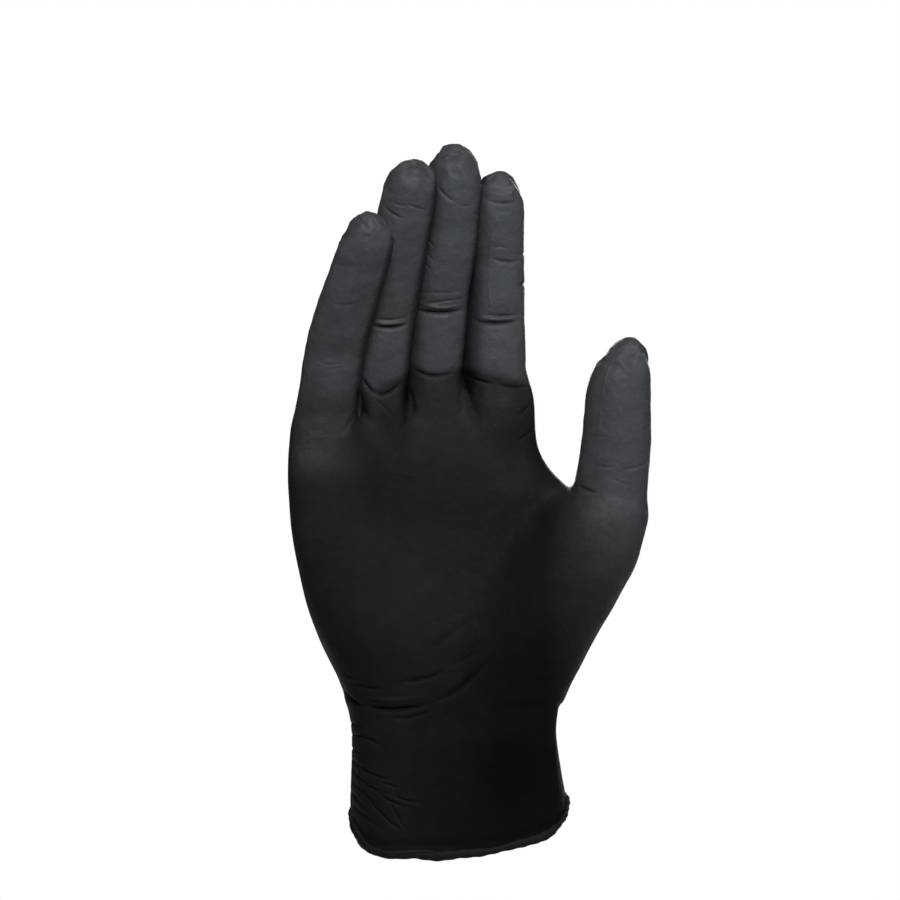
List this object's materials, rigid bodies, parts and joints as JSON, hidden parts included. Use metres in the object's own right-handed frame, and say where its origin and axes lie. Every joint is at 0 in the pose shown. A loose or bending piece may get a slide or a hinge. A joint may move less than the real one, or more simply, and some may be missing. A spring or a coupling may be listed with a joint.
{
  "type": "disposable exam glove",
  "caption": "Black nitrile disposable exam glove in the form of a worn right hand, palm forward, with a rolled bead at its open cuff.",
  "frame": {"origin": "centre of the cuff's opening, where the glove would be slipped over a wrist or stand", "axes": "+Z from the cuff to the fingertips, -Y out of the palm towards the viewer, +X towards the thumb"},
  "size_m": [0.121, 0.0823, 0.2391],
  "materials": {
    "nitrile_film": "matte black nitrile with a faint bluish-grey sheen"
  },
  "bodies": {
    "root": {"glove": "nitrile_film"}
  },
  "joints": []
}
